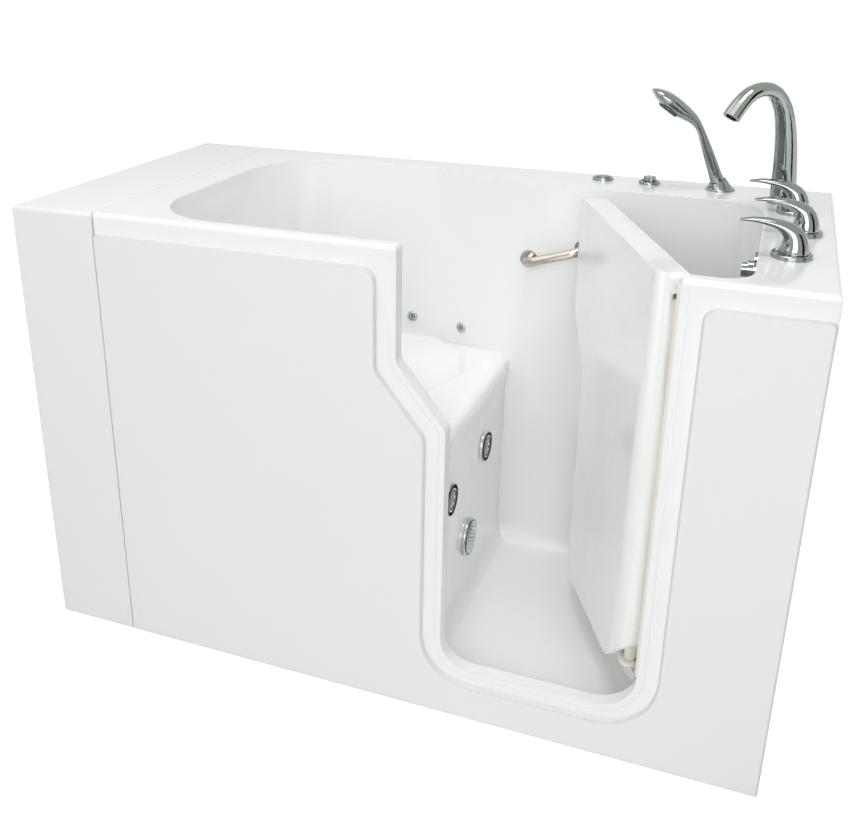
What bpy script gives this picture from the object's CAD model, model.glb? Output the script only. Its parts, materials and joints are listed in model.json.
import json
import math

import bmesh
import bpy
from mathutils import Matrix, Vector


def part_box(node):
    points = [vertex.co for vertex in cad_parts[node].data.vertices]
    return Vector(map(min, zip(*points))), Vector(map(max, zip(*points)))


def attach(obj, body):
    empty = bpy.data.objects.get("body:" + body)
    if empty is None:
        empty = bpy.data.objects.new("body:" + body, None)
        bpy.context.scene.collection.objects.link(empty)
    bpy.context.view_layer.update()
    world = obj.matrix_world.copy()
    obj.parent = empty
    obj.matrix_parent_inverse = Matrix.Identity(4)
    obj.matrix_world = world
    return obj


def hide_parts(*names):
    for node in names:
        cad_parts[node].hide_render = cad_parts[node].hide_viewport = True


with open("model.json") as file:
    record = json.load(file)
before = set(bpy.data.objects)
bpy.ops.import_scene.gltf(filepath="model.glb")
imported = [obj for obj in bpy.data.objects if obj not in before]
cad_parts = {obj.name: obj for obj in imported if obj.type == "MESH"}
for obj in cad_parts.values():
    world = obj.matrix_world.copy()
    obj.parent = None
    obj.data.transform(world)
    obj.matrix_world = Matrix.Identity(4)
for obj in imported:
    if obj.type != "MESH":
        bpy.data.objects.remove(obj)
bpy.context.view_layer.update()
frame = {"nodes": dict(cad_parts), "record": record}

scene = bpy.context.scene
nodes = frame["nodes"]

# ---- Camera, solved from the photograph's straight edges ----

YAW, PITCH, ROLL = 0.36651, 0.36673, 0.0047408
IMAGE_W, IMAGE_H = 855, 826
FOCUS_PX = 1009.5
CENTRE_PX = (392.2, 332.67)
CAMERA_AT = (0.64422, -1.9217, 1.4434)
SENSOR_MM = 36.0
FAR_CLIP = 200


def add_camera():
    """Camera with the photograph's place, turn, focal length and off-centre crop."""
    forward = Vector((-math.sin(YAW) * math.cos(PITCH), math.cos(YAW) * math.cos(PITCH), -math.sin(PITCH)))
    level = Vector((math.cos(YAW), math.sin(YAW), 0))
    upward = level.cross(forward)
    right = level * math.cos(ROLL) + upward * math.sin(ROLL)
    up = upward * math.cos(ROLL) - level * math.sin(ROLL)
    data = bpy.data.cameras.new("camera")
    data.sensor_width = SENSOR_MM
    data.lens = FOCUS_PX / IMAGE_W * SENSOR_MM
    data.shift_x = (IMAGE_W / 2 - CENTRE_PX[0]) / IMAGE_W
    data.shift_y = (CENTRE_PX[1] - IMAGE_H / 2) / IMAGE_W
    data.clip_end = FAR_CLIP
    cam = bpy.data.objects.new("camera", data)
    place = Matrix((right, up, -forward)).transposed().to_4x4()
    place.translation = Vector(CAMERA_AT)
    cam.matrix_world = place
    scene.collection.objects.link(cam)
    scene.camera = cam


add_camera()
scene.view_settings.view_transform = "Standard"

# ---- Materials ----

COAT_ROUGHNESS = 0.04
RELIEF_DEPTH = 0.0004
WAVE_SCALE = 3.5
BEVEL_SAMPLES = 6
BROAD_SHARE, FINE_SHARE = 0.6, 0.4
TONE_RANGE, GLOSS_RANGE, DIRT_RANGE = (0.35, 0.65), (0.3, 0.7), (0.58, 0.75)
DIRT_SCALE, DIRT_MOST = 0.3, 0.35


def linear(c):
    """sRGB 0-1 to linear."""
    return c / 12.92 if c <= 0.04045 else ((c + 0.055) / 1.055) ** 2.4


def rgb(r, g, b):
    """sRGB 0-255 to the linear colour that a shader takes."""
    return tuple(linear(c / 255) for c in (r, g, b)) + (1.0,)


class Tree:
    """Short way to write shader nodes."""

    def __init__(self, tree):
        self.tree = tree
        tree.nodes.clear()

    def add(self, kind, **values):
        n = self.tree.nodes.new(kind)
        for key, value in values.items():
            setattr(n, key, value)
        return n

    def link(self, a, b):
        self.tree.links.new(a, b)

    def math(self, operation, a, b):
        n = self.add("ShaderNodeMath", operation=operation)
        for socket, value in zip(n.inputs, (a, b)):
            if isinstance(value, (int, float)):
                socket.default_value = value
            else:
                self.link(value, socket)
        return n.outputs[0]

    def noise(self, coords, scale, detail, rough, stretch=None):
        if stretch:
            m = self.add("ShaderNodeMapping")
            m.inputs["Scale"].default_value = stretch
            self.link(coords, m.inputs["Vector"])
            coords = m.outputs[0]
        n = self.add("ShaderNodeTexNoise")
        n.inputs["Scale"].default_value = scale
        n.inputs["Detail"].default_value = detail
        n.inputs["Roughness"].default_value = rough
        self.link(coords, n.inputs["Vector"])
        return n.outputs["Fac"]

    def remap(self, value, lo, hi, to_lo, to_hi):
        n = self.add("ShaderNodeMapRange")
        self.link(value, n.inputs["Value"])
        for key, v in (("From Min", lo), ("From Max", hi), ("To Min", to_lo), ("To Max", to_hi)):
            n.inputs[key].default_value = v
        return n.outputs[0]

    def blend(self, fac, a, b):
        n = self.add("ShaderNodeMix", data_type="RGBA")
        self.link(fac, n.inputs[0])
        for socket, value in ((n.inputs[6], a), (n.inputs[7], b)):
            if isinstance(value, tuple):
                socket.default_value = value
            else:
                self.link(value, socket)
        return n.outputs[2]


def finish(name, light, dark, rough, spread, broad, fine, grain, bump, metal=0.0, coat=0.0, stretch=None,
           dirt=None, edge=0.0, waves=0.0):
    """Material with broad and fine colour variation, uneven gloss and a fine relief.

    broad, fine and grain are noise scales. edge is the radius over which edges look softened.
    """
    m = bpy.data.materials.new(name)
    m.use_nodes = True
    t = Tree(m.node_tree)
    out = t.add("ShaderNodeOutputMaterial")
    p = t.add("ShaderNodeBsdfPrincipled")
    t.link(p.outputs[0], out.inputs[0])
    where = t.add("ShaderNodeTexCoord").outputs["Object"]
    big = t.noise(where, broad, 2.0, 0.5, stretch)
    small = t.noise(where, fine, 4.0, 0.6, stretch)
    tone = t.math("ADD", t.math("MULTIPLY", big, BROAD_SHARE), t.math("MULTIPLY", small, FINE_SHARE))
    colour = t.blend(t.remap(tone, *TONE_RANGE, 0.0, 1.0), dark, light)
    if dirt:
        spots = t.noise(where, fine * DIRT_SCALE, 6.0, 0.7)
        colour = t.blend(t.remap(spots, *DIRT_RANGE, 0.0, DIRT_MOST), colour, dirt)
    t.link(colour, p.inputs["Base Color"])
    gloss = t.remap(small, *GLOSS_RANGE, max(0.0, rough - spread), rough + spread)
    t.link(gloss, p.inputs["Roughness"])
    p.inputs["Metallic"].default_value = metal
    p.inputs["Coat Weight"].default_value = coat
    p.inputs["Coat Roughness"].default_value = COAT_ROUGHNESS
    relief = t.add("ShaderNodeBump")
    relief.inputs["Strength"].default_value = bump
    relief.inputs["Distance"].default_value = RELIEF_DEPTH
    height = t.noise(where, grain, 3.0, 0.5, stretch)
    if waves:
        height = t.math("ADD", height, t.math("MULTIPLY", t.noise(where, WAVE_SCALE, 1.0, 0.4), waves))
    t.link(height, relief.inputs["Height"])
    if edge:
        soft = t.add("ShaderNodeBevel", samples=BEVEL_SAMPLES)
        soft.inputs["Radius"].default_value = edge
        t.link(soft.outputs[0], relief.inputs["Normal"])
    t.link(relief.outputs[0], p.inputs["Normal"])
    if coat:
        t.link(relief.outputs[0], p.inputs["Coat Normal"])
    return m


ACRYLIC = finish("acrylic_white", rgb(248, 249, 249), rgb(247, 248, 248), 0.2, coat=0.5, broad=2.0, fine=25.0,
                 grain=90.0, bump=0.03, spread=0.03, edge=0.004, waves=2.0)
PANEL = finish("acrylic_panel", rgb(244, 244, 242), rgb(243, 243, 241), 0.3, broad=2.5, fine=30.0,
               grain=120.0, bump=0.02, spread=0.01, edge=0.002)
CREAM = finish("seal_cream", rgb(240, 236, 221), rgb(231, 226, 208), 0.45, broad=8.0, fine=90.0, grain=500.0,
               bump=0.15, spread=0.08)
HINGE = finish("hinge_cream", rgb(238, 236, 226), rgb(228, 225, 213), 0.35, broad=12.0, fine=120.0,
               grain=700.0, bump=0.1, spread=0.06, edge=0.001)
CHROME = finish("chrome", rgb(158, 164, 156), rgb(146, 151, 154), 0.06, metal=1.0, broad=9.0, fine=140.0,
                grain=900.0, bump=0.01, spread=0.02, edge=0.0006)
JET_CHROME = finish("jet_chrome", rgb(216, 220, 220), rgb(204, 209, 211), 0.16, metal=1.0, broad=12.0,
                    fine=150.0, grain=900.0, bump=0.02, spread=0.03, edge=0.0005)
NICKEL = finish("satin_nickel", rgb(200, 193, 182), rgb(184, 176, 165), 0.18, metal=1.0, broad=10.0,
                fine=260.0, grain=1200.0, bump=0.03, spread=0.05, stretch=(1, 1, 8))
STEEL = finish("frame_steel", rgb(150, 155, 158), rgb(118, 123, 127), 0.42, metal=1.0, broad=14.0, fine=80.0,
               grain=500.0, bump=0.1, spread=0.1, dirt=rgb(96, 92, 86))
RUBBER = finish("foot_rubber", rgb(44, 44, 45), rgb(30, 30, 31), 0.75, broad=20.0, fine=200.0, grain=900.0,
                bump=0.25, spread=0.1, dirt=rgb(88, 86, 82))
NOZZLE = finish("nozzle_dark", rgb(92, 95, 97), rgb(70, 73, 75), 0.4, broad=30.0, fine=250.0, grain=900.0,
                bump=0.1, spread=0.08)
PUMP = finish("pump_dark", rgb(52, 54, 57), rgb(36, 38, 41), 0.5, broad=10.0, fine=120.0, grain=600.0,
              bump=0.25, spread=0.1, dirt=rgb(80, 78, 74))
PVC = finish("pipe_plastic", rgb(226, 226, 222), rgb(211, 211, 206), 0.35, broad=9.0, fine=90.0, grain=500.0,
             bump=0.08, spread=0.06)

# The record's material slots
LOOKS = {
    "acrylic": PANEL, "frame_steel": STEEL, "foot_rubber": RUBBER, "seal": CREAM, "hinge_white": HINGE,
    "nickel": NICKEL, "chrome": CHROME, "nozzle_dark": NOZZLE, "pump_dark": PUMP, "pipe_plastic": PVC,
}
JET_NODES = ("jet_nozzle_rear", "jet_nozzle_front", "jet_bodies", "suction_cover")


def dress(node, material):
    """Gives a CAD node its material."""
    slots = nodes[node].data.materials
    slots.clear()
    slots.append(material)


for part in frame["record"]["subparts"]:
    dress(part["node"], LOOKS[part["material_slot"]])
dress("tub_shell", ACRYLIC)
for n in JET_NODES:
    dress(n, JET_CHROME)

WELD_GAP = 0.00001
SHARP_EDGE = math.radians(35)


def soften(node):
    """Smooth shading, broken where faces meet at a sharp edge."""
    o = nodes[node]
    weld = o.modifiers.new("weld", "WELD")
    weld.merge_threshold = WELD_GAP
    for f in o.data.polygons:
        f.use_smooth = True
    split = o.modifiers.new("edges", "EDGE_SPLIT")
    split.split_angle = SHARP_EDGE


for n in nodes:
    soften(n)

# ---- Door: one moulded slab over a thinner liner, drawn closed and turned to the angle shown ----

# Doorway in the tub's front wall, in metres: X along the tub, Y from front to back, Z up
DECK_H, SILL_H = 0.960, 0.111
DOORWAY_X0, DOORWAY_X0_LOW, DOORWAY_X1 = 0.052, 0.149, 0.527
STEP_TOP, STEP_LOW = 0.745, 0.625
STEP_R, SILL_R_LEFT, SILL_R_RIGHT = 0.024, 0.060, 0.080
BAND_Y, JAMB_Y = -0.360, -0.332

# Door in its closed place
SLAB_FRONT, SLAB_BACK, LINER_BACK = -0.329, -0.287, -0.279
SLAB_X0, SLAB_X0_LOW, SLAB_X1 = 0.0205, 0.128, 0.541
SLAB_TOP, SLAB_Z0 = DECK_H - 0.002, SILL_H + 0.011
SLAB_TOP_R, SLAB_STEP_R, SLAB_SILL_R = 0.010, 0.026, 0.050
SLAB_STEP_TOP, SLAB_STEP_LOW = STEP_TOP - 0.025, STEP_LOW - 0.019
FOOT_CUT_X, FOOT_CUT_LOW, FOOT_CUT_HIGH = 0.086, 0.028, 0.118
FOOT_CUT_R_LOW, FOOT_CUT_R_HIGH = 0.060, 0.030
SLAB_SLOPE_X, SLAB_SLOPE_Y = 0.031, 0.017
SLAB_EDGE_R = 0.007

# Inner skin behind the slab, which covers the corner of the doorway below the slab's cut foot
LINER_COVER, LINER_STEP_DROP = 0.004, 0.042
LINER_X0_LOW, LINER_Z0 = SLAB_X0_LOW - 0.001, SILL_H - LINER_COVER
LINER_X1_LOW, LINER_X1 = DOORWAY_X1 + LINER_COVER, SLAB_X1 + LINER_COVER
LINER_CORNER_R, LINER_WAIST_R = 0.084, 0.060
LINER_WAIST_LOW, LINER_WAIST_HIGH = 0.320, 0.420
LINER_TOP_R_LATCH, LINER_TOP_R_HINGE = 0.008, 0.005
LINER_EDGE_R = 0.002

# Hinge: pins on one upright axis, held by two arms on the jamb's inner face
HINGE_X, HINGE_Y = 0.506, -0.297
DOOR_OPEN = math.radians(65.5)
ARM_LOW_Z, ARM_HIGH_Z, ARM_T = 0.176, 0.915, 0.008
ARM_OUT, ARM_IN, ARM_BEND = 0.005, 0.006, 0.010
LOBE_HIGH_R, LOBE_LOW_R = 0.009, 0.021
LEAF_X, LEAF_W, LEAF_T = 0.550, 0.028, 0.004
LEAF_HIGH_Z0, LEAF_LOW_Z1 = 0.875, 0.216
ARM_EDGE_R = 0.0012
SLEEVE_R, SLEEVE_TOP, SLEEVE_GAP, SLEEVE_EDGE_R = 0.011, 0.230, 0.0005, 0.0015
ROOM_HIGH_R, ROOM_LOW_R, ROOM_SIDE, ROOM_BACK, ROOM_REACH = 0.010, 0.024, 0.006, 0.002, 0.06
ROOM_HIGH_GAP, ROOM_LOW_GAP, ROOM_LOW_DROP = 0.0008, 0.002, 0.03

ARC = 8
DISC_SIDES = 40
ROUNDING_STEPS, ROUNDING_ANGLE = 4, math.radians(40)
opened = (Matrix.Translation((HINGE_X, HINGE_Y, 0)) @ Matrix.Rotation(-DOOR_OPEN, 4, "Z")
          @ Matrix.Translation((-HINGE_X, -HINGE_Y, 0)))


def rounded(corners):
    """Closed outline through (x, z, radius) corners, each one an arc."""
    outline = []
    for i, (x, z, r) in enumerate(corners):
        corner = Vector((x, z))
        back = (Vector(corners[i - 1][:2]) - corner).normalized()
        ahead = (Vector(corners[(i + 1) % len(corners)][:2]) - corner).normalized()
        half = back.angle(ahead) / 2
        centre = corner + (back + ahead).normalized() * (r / math.sin(half))
        first = corner + back * (r / math.tan(half)) - centre
        last = corner + ahead * (r / math.tan(half)) - centre
        for k in range(ARC + 1):
            outline.append(centre + first.lerp(last, k / ARC).normalized() * r)
    return outline


def new_mesh(name, bm, material, body):
    """Smooth piece from a bmesh, riding on a body."""
    bmesh.ops.recalc_face_normals(bm, faces=bm.faces)
    data = bpy.data.meshes.new(name)
    bm.to_mesh(data)
    bm.free()
    o = bpy.data.objects.new(name, data)
    scene.collection.objects.link(o)
    data.materials.append(material)
    for f in data.polygons:
        f.use_smooth = True
    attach(o, body)
    return o


def plate(bm, outline, y0, y1):
    """Solid between two planes across Y."""
    rings = [[bm.verts.new((p.x, y, p.y)) for p in outline] for y in (y0, y1)]
    for i in range(len(outline)):
        j = (i + 1) % len(outline)
        bm.faces.new((rings[0][i], rings[0][j], rings[1][j], rings[1][i]))
    for ring in rings:
        bm.faces.new(ring)


def shave(bm, point, normal):
    """Cuts away what lies beyond a plane and closes the cut."""
    cut = bmesh.ops.bisect_plane(bm, geom=bm.verts[:] + bm.edges[:] + bm.faces[:], plane_co=point,
                                 plane_no=normal, clear_outer=True)
    edges = [e for e in cut["geom_cut"] if isinstance(e, bmesh.types.BMEdge)]
    bmesh.ops.contextual_create(bm, geom=edges)


def carve(o, *cutters):
    """Takes upright boxes and rods, given in the closed place, out of a piece."""
    bm = bmesh.new()
    for kind, x0, x1, y0, y1, z0, z1 in cutters:
        middle = Vector(((x0 + x1) / 2, (y0 + y1) / 2, (z0 + z1) / 2))
        size = Matrix.Diagonal((x1 - x0, y1 - y0, z1 - z0, 1))
        place = opened @ Matrix.Translation(middle) @ size
        if kind == "box":
            bmesh.ops.create_cube(bm, size=1, matrix=place)
        else:
            bmesh.ops.create_cone(bm, cap_ends=True, segments=DISC_SIDES, radius1=0.5, radius2=0.5, depth=1,
                                  matrix=place)
    data = bpy.data.meshes.new("cutter")
    bm.to_mesh(data)
    bm.free()
    cutter = bpy.data.objects.new("cutter", data)
    scene.collection.objects.link(cutter)
    cut = o.modifiers.new("cut", "BOOLEAN")
    cut.object = cutter
    cut.solver = "EXACT"
    cut.use_self = True
    bpy.context.view_layer.objects.active = o
    bpy.context.view_layer.update()
    bpy.ops.object.modifier_apply(modifier="cut")
    bpy.data.objects.remove(cutter)


def soft_edges(o, width):
    """Rounds the sharp edges of a moulded piece."""
    round_off = o.modifiers.new("rounding", "BEVEL")
    round_off.width = width
    round_off.segments = ROUNDING_STEPS
    round_off.limit_method = "ANGLE"
    round_off.angle_limit = ROUNDING_ANGLE
    o.modifiers.new("shading", "WEIGHTED_NORMAL").keep_sharp = True


def door_slab():
    """Outer slab: stepped like the doorway, cut at the hinge's foot and sloped on its hinge side."""
    bm = bmesh.new()
    plate(bm, rounded([
        (SLAB_X0, SLAB_TOP, SLAB_TOP_R),
        (SLAB_X0, SLAB_STEP_TOP, SLAB_STEP_R),
        (SLAB_X0_LOW, SLAB_STEP_LOW, SLAB_STEP_R),
        (SLAB_X0_LOW, SLAB_Z0, SLAB_SILL_R),
        (SLAB_X1 - FOOT_CUT_X, SLAB_Z0 + FOOT_CUT_LOW, FOOT_CUT_R_LOW),
        (SLAB_X1, SLAB_Z0 + FOOT_CUT_HIGH, FOOT_CUT_R_HIGH),
        (SLAB_X1, SLAB_TOP, SLAB_TOP_R),
    ]), SLAB_FRONT, SLAB_BACK)
    slope = Vector((SLAB_SLOPE_Y, -SLAB_SLOPE_X, 0)).normalized()
    shave(bm, (SLAB_X1, SLAB_FRONT + SLAB_SLOPE_Y, 0), slope)
    bm.transform(opened)
    o = new_mesh("door_slab", bm, ACRYLIC, "door")
    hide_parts("door_shell")
    carve(o, *hinge_room())
    soft_edges(o, SLAB_EDGE_R)


def room_rod(r, low, high):
    """Upright rod of room round the hinge axis."""
    return "rod", HINGE_X - r, HINGE_X + r, HINGE_Y - r, HINGE_Y + r, low, high


def hinge_room():
    """Room round the hinge arms, which stay with the jamb while the door turns."""
    high = (ARM_HIGH_Z - ROOM_HIGH_GAP, ARM_HIGH_Z + ARM_T + ROOM_HIGH_GAP)
    low = (ARM_LOW_Z - ROOM_LOW_DROP, ARM_LOW_Z + ARM_T + ROOM_LOW_GAP)
    x1 = SLAB_X1 + ROOM_REACH
    y1 = LINER_BACK + ROOM_BACK
    return [
        room_rod(ROOM_HIGH_R, *high),
        ("box", HINGE_X - ROOM_HIGH_R, x1, HINGE_Y, y1, *high),
        ("box", HINGE_X, x1, HINGE_Y - ROOM_SIDE, y1, *high),
        room_rod(ROOM_LOW_R, *low),
        ("box", HINGE_X, x1, HINGE_Y - ROOM_SIDE, y1, *low),
    ]


def door_inner_skin():
    """Thin inner skin, which reaches past the slab at the hinge side and at the sill."""
    bm = bmesh.new()
    plate(bm, rounded([
        (SLAB_X0, SLAB_TOP, LINER_TOP_R_LATCH),
        (SLAB_X0, STEP_TOP - LINER_STEP_DROP, SLAB_STEP_R),
        (LINER_X0_LOW, STEP_LOW - LINER_STEP_DROP, SLAB_STEP_R),
        (LINER_X0_LOW, LINER_Z0, SLAB_SILL_R),
        (LINER_X1_LOW, LINER_Z0, LINER_CORNER_R),
        (LINER_X1_LOW, LINER_WAIST_LOW, LINER_WAIST_R),
        (LINER_X1, LINER_WAIST_HIGH, LINER_WAIST_R),
        (LINER_X1, SLAB_TOP, LINER_TOP_R_HINGE),
    ]), SLAB_BACK, LINER_BACK)
    bm.transform(opened)
    o = new_mesh("door_inner_skin", bm, ACRYLIC, "door")
    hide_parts("door_liner")
    carve(o, *hinge_room())
    soft_edges(o, LINER_EDGE_R)


def block(bm, x0, x1, y0, y1, z0, z1):
    """Box between six planes."""
    place = Matrix.Translation(((x0 + x1) / 2, (y0 + y1) / 2, (z0 + z1) / 2))
    bmesh.ops.create_cube(bm, size=1, matrix=place @ Matrix.Diagonal((x1 - x0, y1 - y0, z1 - z0, 1)))


def disc(bm, x, y, z0, z1, r):
    """Upright round of a hinge."""
    bmesh.ops.create_cone(bm, cap_ends=True, segments=DISC_SIDES, radius1=r, radius2=r, depth=z1 - z0,
                          matrix=Matrix.Translation((x, y, (z0 + z1) / 2)))


def hinge_arm(name, z, lobe, leaf, node):
    """Arm from the hinge pin to a leaf that is screwed to the jamb's inner face."""
    bm = bmesh.new()
    disc(bm, HINGE_X, HINGE_Y, z, z + ARM_T, lobe)
    block(bm, HINGE_X, LEAF_X + ARM_BEND, HINGE_Y - ARM_OUT, HINGE_Y + ARM_IN, z, z + ARM_T)
    block(bm, LEAF_X, LEAF_X + ARM_BEND, JAMB_Y + LEAF_T, HINGE_Y, z, z + ARM_T)
    block(bm, LEAF_X, LEAF_X + LEAF_W, JAMB_Y, JAMB_Y + LEAF_T, *leaf)
    o = new_mesh(name, bm, HINGE, "tub")
    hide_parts(node)
    soft_edges(o, ARM_EDGE_R)


def hinge_knuckle():
    """Sleeve on the lower pin, which shows under the slab. The upper pin isn't drawn."""
    bm = bmesh.new()
    disc(bm, HINGE_X, HINGE_Y, ARM_LOW_Z + ARM_T + SLEEVE_GAP, SLEEVE_TOP, SLEEVE_R)
    o = new_mesh("hinge_knuckle", bm, HINGE, "door")
    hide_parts("door_pins")
    soft_edges(o, SLEEVE_EDGE_R)


door_slab()
door_inner_skin()
hinge_arm("hinge_arm_high", ARM_HIGH_Z, LOBE_HIGH_R, (LEAF_HIGH_Z0, ARM_HIGH_Z + ARM_T), "pivot_bracket_top")
hinge_arm("hinge_arm_low", ARM_LOW_Z, LOBE_LOW_R, (ARM_LOW_Z, LEAF_LOW_Z1), "pivot_bracket_bottom")
hinge_knuckle()

# ---- Jets: chrome rings with dark lines ----

CALF_FACE, JET_Z, JET_Y = 0.116, 0.386, (0.060, -0.195)
JET_OUTER_LINE_R, JET_INNER_LINE_R, JET_LINE_W = 0.0325, 0.0212, 0.0009
SUCTION_Y, SUCTION_Z, SUCTION_RIM = -0.062, 0.221, 0.1199
SUCTION_LINE_R, SUCTION_LINE_W = 0.0385, 0.0012
NOZZLE_BODIES = (("jet_nozzle_rear", "nozzle_rear"), ("jet_nozzle_front", "nozzle_front"))
BACK_JET_X, BACK_JET_Z, BACK_JET_R, BACK_JET_TOP = (-0.155, -0.018), 0.581, 0.0125, 0.0030
BORE_MARGIN = 0.006
LATHE_SIDES = 48
LINE_SUNK, LINE_SHOULDER, LINE_TOP = -0.0004, 0.0003, 0.0006


def turns(count):
    """Angles once round a circle."""
    return [2 * math.pi * k / count for k in range(count)]


def bridge(bm, rings, count):
    """Skin through rings of equal count, closed at both ends."""
    for a, b in zip(rings, rings[1:]):
        for k in range(count):
            bm.faces.new((a[k], a[(k + 1) % count], b[(k + 1) % count], b[k]))
    for ring in (rings[0], rings[-1]):
        bm.faces.new(ring)


def lathe(bm, profile, place):
    """Turned solid: (radius, height) points round the Z axis of a placement."""
    rings = [[bm.verts.new(place @ Vector((r * math.cos(a), r * math.sin(a), h))) for a in turns(LATHE_SIDES)]
             for r, h in profile]
    bridge(bm, rings, LATHE_SIDES)


def dark_line(bm, r, width, place):
    """Low bead round a jet, which reads as a dark line. Its flat underside lies below the jet's face."""
    lathe(bm, [(r - width, LINE_SUNK), (r - width, LINE_SHOULDER), (r - width / 2, LINE_TOP),
               (r + width / 2, LINE_TOP), (r + width, LINE_SHOULDER), (r + width, LINE_SUNK),
               (r - width, LINE_SUNK)], place)


def facing(point, direction):
    """Placement with its Z axis along a direction."""
    turn = Vector((0, 0, 1)).rotation_difference(Vector(direction)).to_matrix().to_4x4()
    return Matrix.Translation(point) @ turn


def jet_lines():
    """Two dark lines round each calf jet, and one round the suction cover."""
    bm = bmesh.new()
    for y in JET_Y:
        place = facing((CALF_FACE, y, JET_Z), (1, 0, 0))
        dark_line(bm, JET_OUTER_LINE_R, JET_LINE_W, place)
        dark_line(bm, JET_INNER_LINE_R, JET_LINE_W, place)
    place = facing((SUCTION_RIM, SUCTION_Y, SUCTION_Z), (1, 0, 0))
    dark_line(bm, SUCTION_LINE_R, SUCTION_LINE_W, place)
    new_mesh("jet_lines", bm, NOZZLE, "tub")


def nozzles():
    """Domed turning nozzles, each with a dark ring and a dark outlet."""
    for node, body in NOZZLE_BODIES:
        low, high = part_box(node)
        place = facing((high.x, (low.y + high.y) / 2, (low.z + high.z) / 2), (1, 0, 0))
        bm = bmesh.new()
        lathe(bm, [(0.0002, 0.0034), (0.0060, 0.0032), (0.0110, 0.0024), (0.0155, 0.0012), (0.0188, -0.0002),
                   (0.0188, -0.0200)], place)
        dome = new_mesh(node + "_dome", bm, JET_CHROME, body)
        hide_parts(node)
        bm = bmesh.new()
        dark_line(bm, 0.0118, 0.0008, place @ Matrix.Translation((0, 0, 0.0021)))
        lathe(bm, [(0.0002, 0.0040), (0.0038, 0.0038), (0.0042, 0.0024)], place)
        new_mesh(node + "_lines", bm, NOZZLE, body)


def back_jet_places():
    """Where the small jets meet the moulded back wall, taken just above and below its bores."""
    bpy.context.view_layer.update()
    tub = nodes["tub_shell"]
    beside = BACK_JET_R + BORE_MARGIN
    for x in BACK_JET_X:
        _, above, _, _ = tub.ray_cast(Vector((x, 0.0, BACK_JET_Z + beside)), Vector((0, 1, 0)))
        _, below, normal, _ = tub.ray_cast(Vector((x, 0.0, BACK_JET_Z - beside)), Vector((0, 1, 0)))
        yield facing((above + below) / 2, normal)


def back_jets():
    """Small chrome jets, each with a dark outlet and two dark lines."""
    rims, lines = bmesh.new(), bmesh.new()
    for place in back_jet_places():
        lathe(rims, [(0.0005, BACK_JET_TOP), (0.0100, BACK_JET_TOP), (0.0120, 0.0022), (BACK_JET_R, 0.0008),
                     (BACK_JET_R, -0.004)], place)
        top = place @ Matrix.Translation((0, 0, BACK_JET_TOP))
        dark_line(lines, 0.0075, 0.0010, top)
        lathe(lines, [(0.0002, 0.0008), (0.0030, 0.0008), (0.0036, -0.0002)], top)
        dark_line(lines, 0.0121, 0.0007, place @ Matrix.Translation((0, 0, 0.0010)))
    o = new_mesh("back_jet_rims", rims, JET_CHROME, "tub")
    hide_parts("rear_jets")
    new_mesh("back_jet_lines", lines, NOZZLE, "tub")


jet_lines()
nozzles()
back_jets()

# ---- Bead round the doorway, a finger's width from its edge ----

BEAD_AWAY, BEAD_R, BEAD_SUNK, BEAD_SIDES = 0.013, 0.0022, 0.0012, 12
DECK_RIM_Z = DECK_H - 0.006
BEAD_END_Z = DECK_RIM_Z - 0.012
BEAD_PATH_TOP, BEAD_PATH_TOP_R = DECK_RIM_Z + 0.1, 0.001


def doorway_bead():
    """Bead half sunk in the band, beside the doorway's edge and up to just under the deck's rim."""
    d = BEAD_AWAY
    path = rounded([
        (DOORWAY_X0 - d, BEAD_PATH_TOP, BEAD_PATH_TOP_R),
        (DOORWAY_X0 - d, STEP_TOP - d / 3, STEP_R),
        (DOORWAY_X0_LOW - d, STEP_LOW - d / 3, STEP_R),
        (DOORWAY_X0_LOW - d, SILL_H - d, SILL_R_LEFT + d),
        (DOORWAY_X1 + d, SILL_H - d, SILL_R_RIGHT + d),
        (DOORWAY_X1 + d, BEAD_PATH_TOP, BEAD_PATH_TOP_R),
    ])
    first = Vector((DOORWAY_X0 - d, BEAD_END_Z))
    last = Vector((DOORWAY_X1 + d, BEAD_END_Z))
    line = [first] + [p for p in path if p.y < DECK_RIM_Z] + [last]
    bm = bmesh.new()
    rings = []
    for i, p in enumerate(line):
        along = (line[min(i + 1, len(line) - 1)] - line[max(i - 1, 0)]).normalized()
        side = Vector((along.y, 0, -along.x))
        centre = Vector((p.x, BAND_Y + BEAD_SUNK, p.y))
        ring = [centre + side * (BEAD_R * math.cos(a)) - Vector((0, BEAD_R * math.sin(a), 0))
                for a in turns(BEAD_SIDES)]
        rings.append([bm.verts.new(point) for point in ring])
    bridge(bm, rings, BEAD_SIDES)
    new_mesh("doorway_bead", bm, ACRYLIC, "tub")


doorway_bead()

# ---- Floor and light ----

FLOOR_SIZE = 120
FLOOR_COLOUR = (0.8, 0.8, 0.8, 1)
FLOOR_GLOW = 0.9
WORLD_LIGHT = 0.38
CARD_COLOUR = (0.01, 0.01, 0.012, 1)
TAPS = (0.62, 0.1, 1.05)


def seen_rays(t):
    """1 for rays from the camera, a mirror or clear glass, 0 for the light that falls on the object."""
    path = t.add("ShaderNodeLightPath")
    rays = t.math("ADD", t.math("ADD", path.outputs["Is Camera Ray"], path.outputs["Is Glossy Ray"]),
                  path.outputs["Is Transmission Ray"])
    return t.math("MINIMUM", rays, 1.0)


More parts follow.
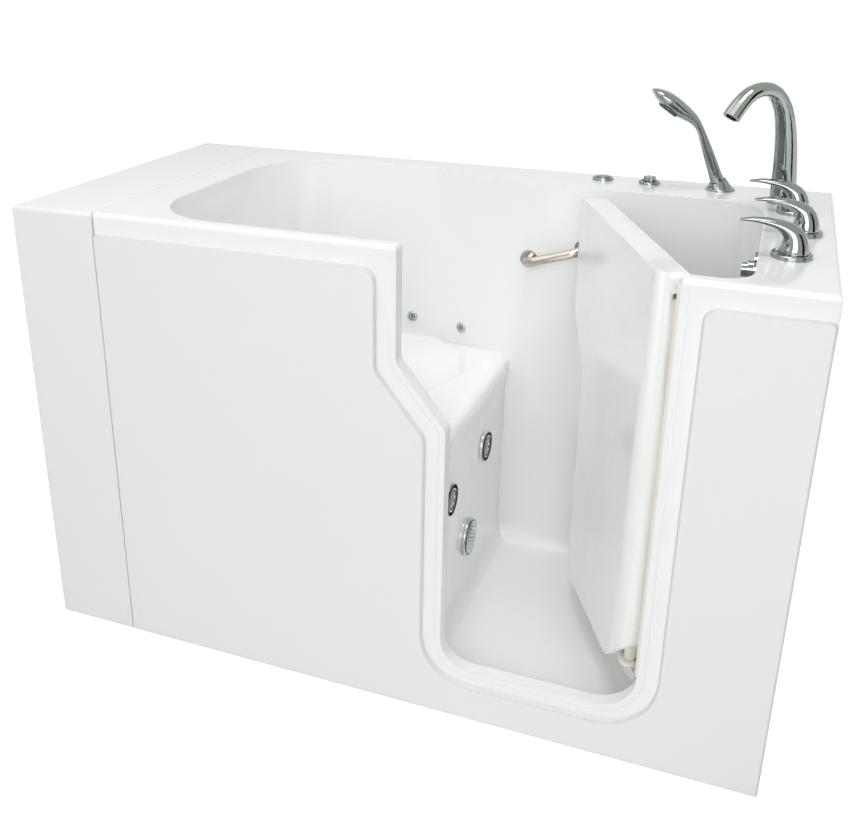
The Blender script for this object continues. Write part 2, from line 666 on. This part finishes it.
def add_floor():
    """Floor that shows as white and still takes the object's shadow."""
    bpy.ops.mesh.primitive_plane_add(size=FLOOR_SIZE, location=(0, 0, 0))
    floor = bpy.context.object
    floor.name = "floor"
    m = bpy.data.materials.new("floor_white")
    m.use_nodes = True
    t = Tree(m.node_tree)
    out = t.add("ShaderNodeOutputMaterial")
    glow = t.add("ShaderNodeEmission")
    t.link(t.math("MULTIPLY", seen_rays(t), FLOOR_GLOW), glow.inputs["Strength"])
    matt = t.add("ShaderNodeBsdfDiffuse")
    matt.inputs["Color"].default_value = FLOOR_COLOUR
    both = t.add("ShaderNodeAddShader")
    t.link(glow.outputs[0], both.inputs[0])
    t.link(matt.outputs[0], both.inputs[1])
    t.link(both.outputs[0], out.inputs[0])
    floor.data.materials.append(m)


def add_world():
    """Even world: full strength where it is seen, less as light on the object."""
    world = bpy.data.worlds.new("world")
    scene.world = world
    world.use_nodes = True
    t = Tree(world.node_tree)
    out = t.add("ShaderNodeOutputWorld")
    bg = t.add("ShaderNodeBackground")
    seen_extra = t.math("MULTIPLY", seen_rays(t), 1.0 - WORLD_LIGHT)
    t.link(t.math("ADD", seen_extra, WORLD_LIGHT), bg.inputs["Strength"])
    t.link(bg.outputs[0], out.inputs[0])


def lamp(name, place, target, size, power):
    """Soft lamp turned to a target: size in metres, power in watts."""
    data = bpy.data.lights.new(name, "AREA")
    data.shape = "RECTANGLE"
    data.size, data.size_y = size
    data.energy = power
    o = bpy.data.objects.new(name, data)
    scene.collection.objects.link(o)
    o.location = place
    o.rotation_euler = (Vector(target) - Vector(place)).to_track_quat("-Z", "Y").to_euler()


def dark_card(name, place, size):
    """Dark panel, turned to the taps, that only mirrors see: for the streaks in polished metal."""
    bpy.ops.mesh.primitive_plane_add(size=1, location=place)
    o = bpy.context.object
    o.name = name
    o.scale = (size[0], size[1], 1)
    o.rotation_euler = (Vector(TAPS) - Vector(place)).to_track_quat("Z", "Y").to_euler()
    o.visible_camera = o.visible_diffuse = o.visible_shadow = o.visible_transmission = False
    m = bpy.data.materials.new(name)
    m.use_nodes = True
    t = Tree(m.node_tree)
    out = t.add("ShaderNodeOutputMaterial")
    matt = t.add("ShaderNodeBsdfDiffuse")
    matt.inputs["Color"].default_value = CARD_COLOUR
    t.link(matt.outputs[0], out.inputs[0])
    o.data.materials.append(m)


add_floor()
add_world()
dark_card("card_left", (-3.4, -1.9, 2.6), (1.2, 3.2))
dark_card("card_front", (1.9, -4.8, 1.2), (0.85, 3.0))
dark_card("card_right", (4.4, -1.1, 2.0), (1.5, 3.6))
lamp("key", (-0.6, -1.2, 3.4), (0.1, 0, 0.6), (2.4, 2.0), 17)
lamp("front", (0.9, -3.2, 2.0), (0.1, 0, 0.45), (2.2, 1.8), 44)
lamp("left", (-1.5, -1.6, 2.0), (0.5, 0, 0.6), (1.6, 1.2), 6)
lamp("back_left", (-1.3, 0.6, 2.6), (0.5, 0, 0.5), (1.4, 1.2), 5)
lamp("over", (0.35, -0.1, 2.8), (0.3, -0.05, 0.1), (0.9, 0.6), 12)
